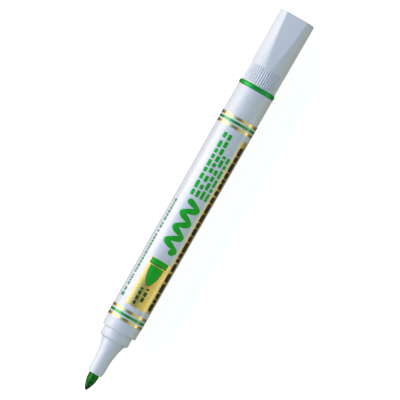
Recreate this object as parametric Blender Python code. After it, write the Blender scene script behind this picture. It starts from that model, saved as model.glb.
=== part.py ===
"""Whiteboard marker with its cap posted on the tail, lying on its side.

The marker lies along X. Its nib points to -X, the crown of the cap is at +X, and the printed front of
the label faces +Z. The origin is on the surface the marker lies on, under the middle of its length.

Every round piece is an outline turned about the marker's own axis. An outline is a list of points
(station, radius): a station is a distance along the axis, from the nib's point on the pieces of the
pen, and from the cap's mouth on the pieces of the cap. Lengths are in metres.
"""

import math

import bmesh
import bpy
from mathutils import Matrix

MM = 0.001

# How pieces fit
PRESS_GAP = 0.05 * MM  # radial gap of pieces that are pressed together for good
SLIDE_GAP = 0.10 * MM  # radial gap of the cap on the tail, and of tubes that pass through a hole
SEAM_GAP = 0.05 * MM  # gap along the axis where two pieces meet end to end
EDGE = 0.10 * MM  # the smallest broken edge

# Nib: a fibre rod with a bullet point
NIB_RADIUS = 2.10 * MM
NIB_EXPOSED = 6.90 * MM
NIB_TAPER_LENGTH = 6.20 * MM
NIB_TIP_RADIUS = 0.50 * MM
NIB_TAIL_CHAMFER = 0.60 * MM
NIB_REACH = 4.60 * MM  # how far the nib's tail goes into the reservoir

# Barrel: a tapered tube with a stepped neck for the cap
BARREL_LENGTH = 103.5 * MM  # from the shoulder to the rear rim
BARREL_FRONT_RADIUS = 7.00 * MM
BARREL_TAPER = 0.28 * MM  # how much more the radius is at the rear rim
BARREL_WALL = 1.05 * MM
SHOULDER_ROUND = 0.45 * MM
SHOULDER_STEP = 1.14 * MM
NECK_LENGTH = 4.20 * MM
NECK_WALL = 1.01 * MM
NECK_BEAD = 0.10 * MM
BEAD_WIDTH = 0.30 * MM
NECK_NOSE_LENGTH = 1.25 * MM  # the rounded front of the neck, along the axis
NECK_NOSE_DROP = 0.95 * MM
NECK_STOP_LENGTH = 1.50 * MM
NECK_STOP_SETBACK = 1.80 * MM  # from the shoulder to the rear of the stop

# Nozzle: the cone that holds the nib
NOZZLE_LENGTH = 14.0 * MM  # what shows in front of the neck
NOZZLE_WALL = 1.03 * MM
NOZZLE_MOUTH_DROP = 0.41 * MM  # how much less the radius is at the mouth
NOZZLE_MOUTH_TAPER = 2.40 * MM
NOZZLE_STRAIGHT_END = 4.40 * MM  # where the flare begins, from the mouth
NOZZLE_SEAT_STEP = 0.70 * MM
NOZZLE_TAIL_LENGTH = 6.00 * MM
NIB_GUIDE_LENGTH = 8.80 * MM
NIB_CHAMBER_GAP = 0.75 * MM
NIB_RIBS = 4

# Printed film around the barrel
LABEL_THICKNESS = 0.10 * MM
LABEL_GAP = 0.03 * MM
LABEL_FRONT_MARGIN = 4.00 * MM  # bare barrel between the shoulder and the film
LABEL_REAR_MARGIN = 11.3 * MM  # bare barrel between the film and the rear rim

# Ink reservoir: fibre core, air tube and film wrap
WRAP_THICKNESS = 0.15 * MM
WRAP_CLEARANCE = 0.35 * MM  # radial space between the wrap and the barrel's bore
CORE_SETBACK = 0.50 * MM  # space at each end of the core
AIR_TUBE_RADIUS = 0.70 * MM
AIR_TUBE_WALL = 0.25 * MM
AIR_TUBE_SHORTER = 0.50 * MM

# Tail plug: flange, body inside the barrel and spigot that carries the posted cap
FLANGE_OVERHANG = 0.16 * MM  # how far the flange stands out beyond the barrel
FLANGE_THICKNESS = 1.65 * MM
FLANGE_ROUND = 0.55 * MM
PLUG_BODY_LENGTH = 9.00 * MM
PLUG_WALL = 1.10 * MM
PLUG_LEAD_IN = 0.60 * MM
SPIGOT_LENGTH = 8.00 * MM
SPIGOT_ROUND = 0.80 * MM

# Liner: the cup inside the cap that seals on the nozzle
LINER_FLANGE_THICKNESS = 0.60 * MM
LINER_ENTRY_FLARE = 0.50 * MM
LINER_WALL = 0.85 * MM
LINER_END_WALL = 1.00 * MM
LINER_SEAL_GAP = 0.07 * MM
LINER_FINS = 6
LINER_FIN_HEIGHT = 0.30 * MM  # the least height, at the end wall
NIB_SPACE_AROUND = 0.85 * MM
NIB_SPACE_AHEAD = 2.15 * MM
SPIGOT_SPACE_AHEAD = 0.40 * MM

# Cap: a shell that flares a little towards its crown, with two flats to pinch
CAP_WALL = 0.97 * MM  # at the mouth
CAP_FLARE = 0.22 * MM
CAP_MOUTH_ROUND = 0.25 * MM
CAP_CROWN_ROUND = 0.45 * MM
CAP_CROWN_WALL = 1.70 * MM
CAP_THROAT_TAPER = 0.80 * MM
RIB_COUNT = 48
RIB_DEPTH = 0.16 * MM
RIB_START = 0.60 * MM
RIB_END = 7.40 * MM
RIB_RUN_OUT = 0.25 * MM
FLAT_GAP = 0.90 * MM  # from the ribs to where the flats begin
FLAT_DEPTH = 1.52 * MM  # how much a flat takes off the radius at the crown
FLAT_EDGE = 0.30 * MM

COLUMNS = 48  # sides of a turned piece
FINE_COLUMNS = 2 * RIB_COUNT  # sides of the cap: one on each rib and one in each groove
NIB_COLUMNS = 32
TUBE_COLUMNS = 16
ARC_STEPS = 4
TOUCH = 0.001 * MM  # points closer than this are one point

# Stations of the pen, from the nib's point
NOZZLE_MOUTH = NIB_EXPOSED
NECK_RIM = NOZZLE_MOUTH + NOZZLE_LENGTH
SHOULDER = NECK_RIM + NECK_LENGTH
REAR_RIM = SHOULDER + BARREL_LENGTH
BORE_START = SHOULDER + NECK_STOP_SETBACK
PLUG_SEAT = BORE_START - NECK_STOP_LENGTH
NOZZLE_END = BORE_START + NOZZLE_TAIL_LENGTH
LABEL_START = SHOULDER + LABEL_FRONT_MARGIN
LABEL_END = REAR_RIM - LABEL_REAR_MARGIN
FLANGE_START = REAR_RIM + SEAM_GAP
FLANGE_END = FLANGE_START + FLANGE_THICKNESS
PLUG_FRONT = REAR_RIM - PLUG_BODY_LENGTH
CORE_START = NOZZLE_END + CORE_SETBACK
CORE_END = PLUG_FRONT - CORE_SETBACK
NIB_TAIL = CORE_START + NIB_REACH
CAP_MOUTH = FLANGE_END + SEAM_GAP

# Stations of the cap, from its mouth. A closed cap's mouth stops at the shoulder.
CAP_LAND_END = SPIGOT_LENGTH + SPIGOT_SPACE_AHEAD + LINER_FLANGE_THICKNESS
LINER_CHAMBER_END = SHOULDER + NIB_SPACE_AHEAD
LINER_END = LINER_CHAMBER_END + LINER_END_WALL
CAP_INNER_END = LINER_END + SEAM_GAP
CAP_LENGTH = CAP_INNER_END + CAP_CROWN_WALL
FLAT_START = RIB_END + FLAT_GAP
TOTAL_LENGTH = CAP_MOUTH + CAP_LENGTH

# Radii that follow from the fits
NIB_BORE_RADIUS = NIB_RADIUS + PRESS_GAP
NIB_CHAMBER_RADIUS = NIB_BORE_RADIUS + NIB_CHAMBER_GAP
NOZZLE_RADIUS = NIB_BORE_RADIUS + NOZZLE_WALL
NOZZLE_MOUTH_RADIUS = NOZZLE_RADIUS - NOZZLE_MOUTH_DROP
NECK_RADIUS = BARREL_FRONT_RADIUS - SHOULDER_STEP
NECK_BORE_RADIUS = NECK_RADIUS - NECK_WALL
NOZZLE_BASE_RADIUS = NECK_BORE_RADIUS - PRESS_GAP
NOZZLE_TAIL_RADIUS = NOZZLE_BASE_RADIUS - NOZZLE_SEAT_STEP
STOP_RADIUS = NOZZLE_TAIL_RADIUS + SLIDE_GAP
BARREL_REAR_RADIUS = BARREL_FRONT_RADIUS + BARREL_TAPER
FLANGE_RADIUS = BARREL_REAR_RADIUS + FLANGE_OVERHANG
WRAP_RADIUS = BARREL_FRONT_RADIUS - BARREL_WALL - WRAP_CLEARANCE
WRAP_BORE_RADIUS = WRAP_RADIUS - WRAP_THICKNESS
CORE_RADIUS = WRAP_BORE_RADIUS - PRESS_GAP
AIR_GROOVE_RADIUS = AIR_TUBE_RADIUS + PRESS_GAP
AIR_TUBE_OFFSET = CORE_RADIUS - AIR_TUBE_RADIUS
CAP_BORE_RADIUS = NECK_RADIUS + NECK_BEAD + PRESS_GAP
SPIGOT_RADIUS = CAP_BORE_RADIUS - SLIDE_GAP
CAP_MOUTH_RADIUS = CAP_BORE_RADIUS + CAP_WALL
CAP_CROWN_RADIUS = CAP_MOUTH_RADIUS + CAP_FLARE
FLAT_HALF_THICKNESS = CAP_CROWN_RADIUS - FLAT_DEPTH
LINER_SEAL_RADIUS = NOZZLE_RADIUS + LINER_SEAL_GAP
LINER_CHAMBER_RADIUS = NIB_RADIUS + NIB_SPACE_AROUND
LINER_CUP_RADIUS = LINER_SEAL_RADIUS + LINER_WALL
CAP_THROAT_END_RADIUS = LINER_CUP_RADIUS + LINER_FIN_HEIGHT + PRESS_GAP
CAP_THROAT_RADIUS = CAP_THROAT_END_RADIUS + CAP_THROAT_TAPER


def barrel_radius(station):
    """Outside radius of the bare barrel, which tapers evenly from the shoulder to the rear rim."""
    share = (station - SHOULDER) / BARREL_LENGTH
    return BARREL_FRONT_RADIUS + share * (BARREL_REAR_RADIUS - BARREL_FRONT_RADIUS)


def bore_radius(station):
    return barrel_radius(station) - BARREL_WALL


def label_radius(station):
    return barrel_radius(station) + LABEL_GAP + LABEL_THICKNESS


def cap_radius(station):
    """Outside radius of the cap, whose stations count from its mouth."""
    share = station / CAP_LENGTH
    return CAP_MOUTH_RADIUS + share * (CAP_CROWN_RADIUS - CAP_MOUTH_RADIUS)


def throat_radius(station):
    """Radius of the cap's narrow bore, behind the land that takes the neck."""
    depth = CAP_INNER_END - CAP_LAND_END
    share = (station - CAP_LAND_END) / depth
    return CAP_THROAT_RADIUS + share * (CAP_THROAT_END_RADIUS - CAP_THROAT_RADIUS)


AXIS_HEIGHT = max(FLANGE_RADIUS, label_radius(LABEL_END), CAP_CROWN_RADIUS)


def clear_scene():
    for obj in list(bpy.data.objects):
        bpy.data.objects.remove(obj)


def material(name, colour, roughness, metallic=0.0):
    made = bpy.data.materials.new(name)
    made.use_nodes = True
    shader = made.node_tree.nodes["Principled BSDF"]
    shader.inputs["Base Color"].default_value = (*colour, 1.0)
    shader.inputs["Roughness"].default_value = roughness
    shader.inputs["Metallic"].default_value = metallic
    return made


def add_object(name, mesh, parent):
    obj = bpy.data.objects.new(name, mesh)
    bpy.context.scene.collection.objects.link(obj)
    obj.parent = parent
    return obj


def mesh_from(bm, name, surface=None):
    """A smooth-shaded mesh made from a bmesh, which is freed."""
    mesh = bpy.data.meshes.new(name)
    bm.to_mesh(mesh)
    bm.free()
    mesh.shade_smooth()
    mesh.set_sharp_from_angle(angle=math.radians(35))
    if surface:
        mesh.materials.append(surface)
    return mesh


def arc(centre, radius, start, end, steps=ARC_STEPS):
    """Points on a circle in the outline's plane, from one angle to another, in degrees from +X."""
    points = []
    for i in range(steps + 1):
        angle = math.radians(start + (end - start) * i / steps)
        points.append((centre[0] + radius * math.cos(angle), centre[1] + radius * math.sin(angle)))
    return points


def tangent_arc(start, end, steps):
    """Points from start to end on the arc that leaves start along the axis."""
    run = end[0] - start[0]
    rise = end[1] - start[1]
    radius = (run * run + rise * rise) / (2 * rise)
    points = []
    for i in range(steps + 1):
        along = run * i / steps
        across = abs(radius) - math.sqrt(radius * radius - along * along)
        points.append((start[0] + along, start[1] + math.copysign(across, rise)))
    return points


def turned(name, outline, surface, parent, columns=COLUMNS, closed=True, on_rib=None):
    """A solid made by turning an outline about the X axis.

    A closed outline makes a tube. An open one starts and ends on the axis. A point may have a third
    number, the radius that it has on the columns for which on_rib is true.
    """
    bm = bmesh.new()
    verts = [bm.verts.new((point[0], point[1], 0.0)) for point in outline]
    edges = [bm.edges.new(pair) for pair in zip(verts, verts[1:])]
    if closed:
        edges.append(bm.edges.new((verts[-1], verts[0])))
    bmesh.ops.spin(
        bm,
        geom=verts + edges,
        cent=(0, 0, 0),
        axis=(1, 0, 0),
        angle=math.tau,
        steps=columns,
        use_merge=True,
    )
    bmesh.ops.remove_doubles(bm, verts=bm.verts, dist=TOUCH)
    shape_ribs(bm, [point for point in outline if len(point) == 3], columns, on_rib)
    bmesh.ops.recalc_face_normals(bm, faces=bm.faces)
    return add_object(name, mesh_from(bm, name, surface), parent)


def shape_ribs(bm, rows, columns, on_rib):
    """Moves the chosen columns of each row (station, radius, rib radius) to the rib radius."""
    for vert in bm.verts:
        radius = math.hypot(vert.co.y, vert.co.z)
        column = round(math.atan2(vert.co.z, vert.co.y) / math.tau * columns) % columns
        for station, root, rib in rows:
            here = abs(vert.co.x - station) < TOUCH and abs(radius - root) < TOUCH
            if here and on_rib(column):
                vert.co.y *= rib / root
                vert.co.z *= rib / root
                break


def evenly(count, columns, half_width):
    """A test for columns that lie within half_width columns of count evenly spaced ribs."""
    pitch = columns // count

    def chosen(column):
        return min(column % pitch, -column % pitch) <= half_width

    return chosen


def cut(target, cutter):
    """Takes the cutter's shape out of the target. The cutter stays as a hidden helper."""
    cutter.hide_render = True
    cutter.display_type = "WIRE"
    boolean = target.modifiers.new("cut_" + cutter.name, "BOOLEAN")
    boolean.operation = "DIFFERENCE"
    boolean.object = cutter


def make_nib(surface, parent):
    """Fibre rod whose bullet point is a tangent ogive with a round tip."""
    taper = NIB_TAPER_LENGTH - NIB_TIP_RADIUS
    step = NIB_RADIUS - NIB_TIP_RADIUS
    ogive = (taper * taper / step + NIB_RADIUS + NIB_TIP_RADIUS) / 2
    lean = math.degrees(math.acos(taper / (ogive - NIB_TIP_RADIUS)))
    tip = arc((NIB_TIP_RADIUS, 0), NIB_TIP_RADIUS, 180, 180 - lean, 3)
    tip[0] = (0.0, 0.0)
    side = arc((NIB_TAPER_LENGTH, NIB_RADIUS - ogive), ogive, 180 - lean, 90, 7)
    outline = tip + side[1:]
    outline += [
        (NIB_TAIL - NIB_TAIL_CHAMFER, NIB_RADIUS),
        (NIB_TAIL, NIB_RADIUS - NIB_TAIL_CHAMFER),
        (NIB_TAIL, 0.0),
    ]
    return turned("nib", outline, surface, parent, columns=NIB_COLUMNS, closed=False)


def make_nozzle(surface, parent):
    """Cone that plugs the neck, with a tail behind the neck's stop and ribs that centre the nib."""
    full = NOZZLE_MOUTH + NOZZLE_MOUTH_TAPER
    flare = NOZZLE_MOUTH + NOZZLE_STRAIGHT_END
    guide = NOZZLE_MOUTH + NIB_GUIDE_LENGTH
    mouth = tangent_arc((full, NOZZLE_RADIUS), (NOZZLE_MOUTH + EDGE, NOZZLE_MOUTH_RADIUS), 3)
    outline = [(NOZZLE_MOUTH, NIB_BORE_RADIUS), (NOZZLE_MOUTH, NOZZLE_MOUTH_RADIUS - EDGE)]
    outline += reversed(mouth)
    outline += tangent_arc((flare, NOZZLE_RADIUS), (NECK_RIM, NOZZLE_BASE_RADIUS), 7)
    outline += [
        (PLUG_SEAT - SEAM_GAP, NOZZLE_BASE_RADIUS),
        (PLUG_SEAT - SEAM_GAP, NOZZLE_TAIL_RADIUS),
        (NOZZLE_END, NOZZLE_TAIL_RADIUS),
        (NOZZLE_END, NIB_CHAMBER_RADIUS, NIB_BORE_RADIUS),
        (guide + NIB_CHAMBER_RADIUS - NIB_BORE_RADIUS, NIB_CHAMBER_RADIUS, NIB_BORE_RADIUS),
        (guide, NIB_BORE_RADIUS),
    ]
    ribs = evenly(NIB_RIBS, COLUMNS, 1)
    return turned("nozzle", outline, surface, parent, on_rib=ribs)


def make_barrel(surface, parent):
    """Tapered tube. Its neck has a bead that the cap clips over and a stop that the nozzle seats on."""
    bead = NECK_RADIUS + NECK_BEAD
    bead_start = NECK_RIM + NECK_NOSE_LENGTH
    nose = tangent_arc((bead_start, bead), (NECK_RIM, bead - NECK_NOSE_DROP), ARC_STEPS)
    shoulder = arc(
        (SHOULDER + SHOULDER_ROUND, barrel_radius(SHOULDER) - SHOULDER_ROUND),
        SHOULDER_ROUND,
        180,
        90,
    )
    outline = [(NECK_RIM, NECK_BORE_RADIUS)]
    outline += reversed(nose)
    outline += [
        (bead_start + BEAD_WIDTH, bead),
        (bead_start + 2 * BEAD_WIDTH, NECK_RADIUS),
        (SHOULDER, NECK_RADIUS),
    ]
    outline += shoulder
    outline += [
        (REAR_RIM - EDGE, barrel_radius(REAR_RIM)),
        (REAR_RIM, barrel_radius(REAR_RIM) - EDGE),
        (REAR_RIM, bore_radius(REAR_RIM)),
        (BORE_START, bore_radius(BORE_START)),
        (BORE_START, STOP_RADIUS),
        (PLUG_SEAT, STOP_RADIUS),
        (PLUG_SEAT, NECK_BORE_RADIUS),
    ]
    return turned("barrel", outline, surface, parent)


def make_label(surface, parent):
    outline = []
    for station in (LABEL_START, LABEL_END):
        outline.append((station, barrel_radius(station) + LABEL_GAP))
    for station in (LABEL_END, LABEL_START):
        outline.append((station, label_radius(station)))
    return turned("label_film", outline, surface, parent)


def make_reservoir_core(surface, parent):
    """Fibre cylinder with a hole for the nib's tail and a groove for the air tube."""
    hole = NIB_BORE_RADIUS
    hole_end = NIB_TAIL + SEAM_GAP
    outline = [
        (hole_end, 0.0),
        (hole_end, hole),
        (CORE_START, hole),
        (CORE_START, CORE_RADIUS),
        (CORE_END, CORE_RADIUS),
        (CORE_END, 0.0),
    ]
    core = turned("reservoir_core", outline, surface, parent, closed=False)
    overrun = 1 * MM
    outline = [
        (CORE_START - overrun, 0.0),
        (CORE_START - overrun, AIR_GROOVE_RADIUS),
        (CORE_END + overrun, AIR_GROOVE_RADIUS),
        (CORE_END + overrun, 0.0),
    ]
    groove = turned("air_groove", outline, None, parent, columns=TUBE_COLUMNS, closed=False)
    groove.location = (0, 0, -AIR_TUBE_OFFSET)
    cut(core, groove)
    return core


def make_air_tube(surface, parent):
    """Thin tube under the wrap that lets air into the reservoir as ink leaves it."""
    start = CORE_START + AIR_TUBE_SHORTER
    end = CORE_END - AIR_TUBE_SHORTER
    outline = [
        (start, AIR_TUBE_RADIUS - AIR_TUBE_WALL),
        (start, AIR_TUBE_RADIUS),
        (end, AIR_TUBE_RADIUS),
        (end, AIR_TUBE_RADIUS - AIR_TUBE_WALL),
    ]
    tube = turned("air_tube", outline, surface, parent, columns=TUBE_COLUMNS)
    tube.location = (0, 0, -AIR_TUBE_OFFSET)
    return tube


def make_wrap(surface, parent):
    outline = [
        (CORE_START, WRAP_BORE_RADIUS),
        (CORE_START, WRAP_RADIUS),
        (CORE_END, WRAP_RADIUS),
        (CORE_END, WRAP_BORE_RADIUS),
    ]
    return turned("reservoir_wrap", outline, surface, parent)


def make_tail_plug(surface, parent):
    """Hollow plug: a body in the barrel, a flange on its rim and a closed spigot for the cap."""
    body = bore_radius(PLUG_FRONT) - PRESS_GAP
    spigot_end = FLANGE_END + SPIGOT_LENGTH
    flange_edge = arc(
        (FLANGE_END - FLANGE_ROUND, FLANGE_RADIUS - FLANGE_ROUND), FLANGE_ROUND, 90, 0
    )
    spigot_edge = arc(
        (spigot_end - SPIGOT_ROUND, SPIGOT_RADIUS - SPIGOT_ROUND), SPIGOT_ROUND, 90, 0, 3
    )
    outline = [
        (spigot_end - PLUG_WALL, 0.0),
        (spigot_end - PLUG_WALL, SPIGOT_RADIUS - PLUG_WALL),
        (PLUG_FRONT, SPIGOT_RADIUS - PLUG_WALL),
        (PLUG_FRONT, body - PLUG_LEAD_IN / 2),
        (PLUG_FRONT + PLUG_LEAD_IN, body),
        (FLANGE_START, body),
        (FLANGE_START, FLANGE_RADIUS - EDGE),
        (FLANGE_START + EDGE, FLANGE_RADIUS),
    ]
    outline += flange_edge
    outline.append((FLANGE_END, SPIGOT_RADIUS))
    outline += spigot_edge
    outline.append((spigot_end, 0.0))
    return turned("tail_plug", outline, surface, parent, closed=False)


def make_cap(surface, parent):
    """Shell with grip grooves at its mouth, a stepped bore and two flats that run to the crown."""
    crown = CAP_LENGTH
    mouth_edge = arc(
        (CAP_MOUTH_ROUND, cap_radius(0) - CAP_MOUTH_ROUND), CAP_MOUTH_ROUND, 180, 90, 2
    )
    crown_edge = arc(
        (crown - CAP_CROWN_ROUND, cap_radius(crown) - CAP_CROWN_ROUND), CAP_CROWN_ROUND, 90, 0, 3
    )
    lead_in = CAP_MOUTH_ROUND
    outline = [
        (CAP_INNER_END, 0.0),
        (CAP_INNER_END, CAP_THROAT_END_RADIUS),
        (CAP_LAND_END, CAP_THROAT_RADIUS),
        (CAP_LAND_END, CAP_BORE_RADIUS),
        (lead_in, CAP_BORE_RADIUS),
        (0.0, CAP_BORE_RADIUS + lead_in),
    ]
    outline += mouth_edge
    outline.append((RIB_START, cap_radius(RIB_START)))
    for station in (RIB_START + RIB_RUN_OUT, RIB_END - RIB_RUN_OUT):
        outline.append((station, cap_radius(station), cap_radius(station) - RIB_DEPTH))
    outline.append((RIB_END, cap_radius(RIB_END)))
    outline += crown_edge
    outline.append((crown, 0.0))

    def in_groove(column):
        return column % 2 == 1

    cap = turned(
        "cap_shell",
        outline,
        surface,
        parent,
        columns=FINE_COLUMNS,
        closed=False,
        on_rib=in_groove,
    )
    top = make_flat_cutter("top_flat_cutter", parent)
    cut(cap, top)
    under = add_object("under_flat_cutter", top.data, parent)
    under.rotation_euler = (math.pi, 0, 0)
    cut(cap, under)
    return cap


def make_flat_cutter(name, parent):
    """Block above one flat, which slopes from the cap's side down to the crown's broken edge."""
    reach = 2 * CAP_CROWN_RADIUS
    slope = (cap_radius(FLAT_START) - FLAT_HALF_THICKNESS) / (CAP_LENGTH - FLAT_START)

    def flat_height(station):
        return FLAT_HALF_THICKNESS + slope * (CAP_LENGTH - station)

    edge_start = CAP_LENGTH - FLAT_EDGE
    side = [
        (RIB_END, flat_height(RIB_END)),
        (edge_start, flat_height(edge_start)),
        (CAP_LENGTH + FLAT_EDGE, flat_height(edge_start) - 2 * FLAT_EDGE),
        (CAP_LENGTH + FLAT_EDGE, reach),
        (RIB_END, reach),
    ]
    bm = bmesh.new()
    face = bm.faces.new([bm.verts.new((x, -reach, z)) for x, z in side])
    swept = bmesh.ops.extrude_face_region(bm, geom=[face])["geom"]
    moved = [item for item in swept if isinstance(item, bmesh.types.BMVert)]
    bmesh.ops.translate(bm, verts=moved, vec=(0, 2 * reach, 0))
    bmesh.ops.recalc_face_normals(bm, faces=bm.faces)
    return add_object(name, mesh_from(bm, name), parent)


def make_cap_liner(surface, parent):
    """Cup that seals on the nozzle when the cap is closed, centred in the cap by fins."""
    flange_end = CAP_LAND_END - SEAM_GAP
    flange_start = flange_end - LINER_FLANGE_THICKNESS
    flange_radius = CAP_BORE_RADIUS - PRESS_GAP
    seal_start = SHOULDER - (NOZZLE_MOUTH + NOZZLE_STRAIGHT_END) - SEAM_GAP
    seal_end = SHOULDER - NOZZLE_MOUTH
    fin_start = CAP_LAND_END + LINER_WALL

    def fin_radius(station):
        return throat_radius(station) - PRESS_GAP

    outline = [
        (LINER_CHAMBER_END, 0.0),
        (LINER_CHAMBER_END, LINER_CHAMBER_RADIUS),
        (seal_end, LINER_CHAMBER_RADIUS),
        (seal_end, LINER_SEAL_RADIUS),
        (seal_start, LINER_SEAL_RADIUS),
        (flange_start, LINER_CUP_RADIUS + LINER_ENTRY_FLARE),
        (flange_start, flange_radius),
        (flange_end, flange_radius),
        (flange_end, fin_radius(CAP_LAND_END)),
        (fin_start, fin_radius(fin_start)),
        (fin_start + LINER_WALL, LINER_CUP_RADIUS, fin_radius(fin_start + LINER_WALL)),
        (LINER_CHAMBER_END, LINER_CUP_RADIUS, fin_radius(LINER_CHAMBER_END)),
        (LINER_END, LINER_CUP_RADIUS - LINER_END_WALL / 2),
        (LINER_END, 0.0),
    ]
    fins = evenly(LINER_FINS, COLUMNS, 1)
    return turned("cap_liner", outline, surface, parent, closed=False, on_rib=fins)


def main():
    clear_scene()
    white_plastic = material("white_plastic", (0.80, 0.83, 0.88), 0.35)
    cap_plastic = material("cap_plastic", (0.80, 0.83, 0.88), 0.42)
    printed_film = material("printed_film", (0.84, 0.86, 0.90), 0.25)
    green_plastic = material("green_plastic", (0.02, 0.36, 0.10), 0.30)
    liner_plastic = material("liner_plastic", (0.78, 0.78, 0.76), 0.50)
    inked_nib = material("inked_nib", (0.01, 0.20, 0.05), 0.75)
    ink_fibre = material("ink_fibre", (0.03, 0.28, 0.10), 0.95)
    clear_film = material("clear_film", (0.75, 0.80, 0.78), 0.20)
    air_tube_plastic = material("air_tube_plastic", (0.82, 0.82, 0.80), 0.45)

    # The pen's own axis starts at the nib's point, and the cap's axis at its mouth.
    pen_axis = add_object("pen_axis", None, None)
    pen_axis.location = (-TOTAL_LENGTH / 2, 0, AXIS_HEIGHT)
    cap_axis = add_object("cap_axis", None, pen_axis)
    cap_axis.location = (CAP_MOUTH, 0, 0)

    make_nib(inked_nib, pen_axis)
    make_nozzle(white_plastic, pen_axis)
    make_barrel(white_plastic, pen_axis)
    make_label(printed_film, pen_axis)
    make_reservoir_core(ink_fibre, pen_axis)
    make_air_tube(air_tube_plastic, pen_axis)
    make_wrap(clear_film, pen_axis)
    make_tail_plug(green_plastic, pen_axis)
    make_cap(cap_plastic, cap_axis)
    make_cap_liner(liner_plastic, cap_axis)


main()
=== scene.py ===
"""The whiteboard marker's looks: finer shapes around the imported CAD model, materials, print, light, camera.

Lengths are in metres. Stations are distances along X from the marker's point on the pieces of the pen, and
from the cap's mouth on the pieces of the cap. An angle around the marker is counted in degrees from
the front of the label, which faces +Z, towards -Y.
"""

import math
import random

import bmesh
import bpy
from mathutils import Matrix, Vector


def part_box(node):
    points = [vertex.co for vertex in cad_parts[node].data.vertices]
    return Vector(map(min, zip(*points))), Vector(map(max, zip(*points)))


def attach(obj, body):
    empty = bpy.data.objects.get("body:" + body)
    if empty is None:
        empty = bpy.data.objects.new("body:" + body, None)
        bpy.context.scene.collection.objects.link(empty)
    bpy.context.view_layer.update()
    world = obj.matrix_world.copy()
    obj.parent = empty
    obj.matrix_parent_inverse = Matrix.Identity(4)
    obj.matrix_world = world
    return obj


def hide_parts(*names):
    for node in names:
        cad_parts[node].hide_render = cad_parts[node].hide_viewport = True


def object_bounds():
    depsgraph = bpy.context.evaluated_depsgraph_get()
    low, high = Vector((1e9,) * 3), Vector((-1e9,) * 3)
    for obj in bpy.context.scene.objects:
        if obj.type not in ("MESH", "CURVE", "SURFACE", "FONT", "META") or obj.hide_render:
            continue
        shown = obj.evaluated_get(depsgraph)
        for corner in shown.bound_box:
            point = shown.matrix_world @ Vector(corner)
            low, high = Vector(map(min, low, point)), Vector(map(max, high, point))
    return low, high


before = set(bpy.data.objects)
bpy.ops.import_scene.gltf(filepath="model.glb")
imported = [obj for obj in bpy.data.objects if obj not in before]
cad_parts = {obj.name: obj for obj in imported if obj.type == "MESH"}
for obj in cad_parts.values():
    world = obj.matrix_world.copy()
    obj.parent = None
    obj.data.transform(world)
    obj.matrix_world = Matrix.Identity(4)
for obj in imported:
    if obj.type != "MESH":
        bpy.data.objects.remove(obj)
cad_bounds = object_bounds()

MM = 0.001
COLUMNS = 192  # sides of a turned piece
PRINT_STEP = 2.0  # degrees between the columns of a printed patch
SHARP_ANGLE = math.radians(32)
MERGE_DISTANCE = 1e-7  # corners closer than this are one corner

# Places and sizes that the frame gives
NIB_LOW, NIB_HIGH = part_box("nib")
NOZZLE_LOW, NOZZLE_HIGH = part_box("nozzle")
BARREL_LOW, BARREL_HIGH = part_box("barrel")
LABEL_LOW, LABEL_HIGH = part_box("label_film")
PLUG_LOW, PLUG_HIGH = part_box("tail_plug")
CAP_LOW, CAP_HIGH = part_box("cap_shell")
LINER_LOW, LINER_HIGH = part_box("cap_liner")
AXIS_HEIGHT = (PLUG_LOW.z + PLUG_HIGH.z) / 2
TIP = NIB_LOW.x

NIB_RADIUS = NIB_HIGH.y
NOZZLE_MOUTH = NOZZLE_LOW.x - TIP
NOZZLE_END = NOZZLE_HIGH.x - TIP
NOZZLE_BASE_RADIUS = NOZZLE_HIGH.y
NECK_RIM = BARREL_LOW.x - TIP
REAR_RIM = BARREL_HIGH.x - TIP
BARREL_REAR_RADIUS = BARREL_HIGH.y
LABEL_START = LABEL_LOW.x - TIP
LABEL_END = LABEL_HIGH.x - TIP
PLUG_FRONT = PLUG_LOW.x - TIP
SPIGOT_END = PLUG_HIGH.x - TIP
FLANGE_RADIUS = PLUG_HIGH.y
CAP_LENGTH = CAP_HIGH.x - CAP_LOW.x
CAP_CROWN_RADIUS = CAP_HIGH.y
LINER_START = LINER_LOW.x - CAP_LOW.x
LINER_END = LINER_HIGH.x - CAP_LOW.x
LINER_FLANGE_RADIUS = LINER_HIGH.y

# Sizes that the CAD model shares and its boxes don't give
NIB_TAPER_LENGTH = 6.20 * MM
NIB_TIP_RADIUS = 0.50 * MM
NIB_TAIL_CHAMFER = 0.60 * MM
NIB_BORE_RADIUS = NIB_RADIUS + 0.05 * MM
NIB_CHAMBER_RADIUS = 2.90 * MM
NIB_GUIDE_LENGTH = 8.80 * MM
NOZZLE_RADIUS = 3.18 * MM
NOZZLE_MOUTH_RADIUS = 2.77 * MM
NOZZLE_MOUTH_TAPER = 2.40 * MM
NOZZLE_STRAIGHT_END = 4.40 * MM
NOZZLE_TAIL_RADIUS = 4.10 * MM
NOZZLE_TAIL_LENGTH = 6.00 * MM
NECK_LENGTH = 4.20 * MM
NECK_STOP_LENGTH = 1.50 * MM
NECK_RADIUS = 5.86 * MM
NECK_BEAD = 0.10 * MM
BEAD_WIDTH = 0.30 * MM
NECK_NOSE_LENGTH = 1.25 * MM
NECK_NOSE_DROP = 0.95 * MM
SHOULDER = NECK_RIM + NECK_LENGTH
SHOULDER_ROUND = 0.45 * MM
BARREL_FRONT_RADIUS = 7.00 * MM
BARREL_WALL = 1.05 * MM
LABEL_GAP = 0.03 * MM
LABEL_THICKNESS = 0.10 * MM
FLANGE_THICKNESS = 1.65 * MM
FLANGE_ROUND = 0.55 * MM
SPIGOT_LENGTH = 8.00 * MM
SPIGOT_ROUND = 0.80 * MM
PLUG_WALL = 1.10 * MM
PLUG_LEAD_IN = 0.60 * MM
CAP_BORE_RADIUS = LINER_FLANGE_RADIUS + 0.05 * MM
CAP_MOUTH_RADIUS = CAP_CROWN_RADIUS - 0.22 * MM
CAP_MOUTH_ROUND = 0.25 * MM
CAP_CROWN_WALL = 1.70 * MM
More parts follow.
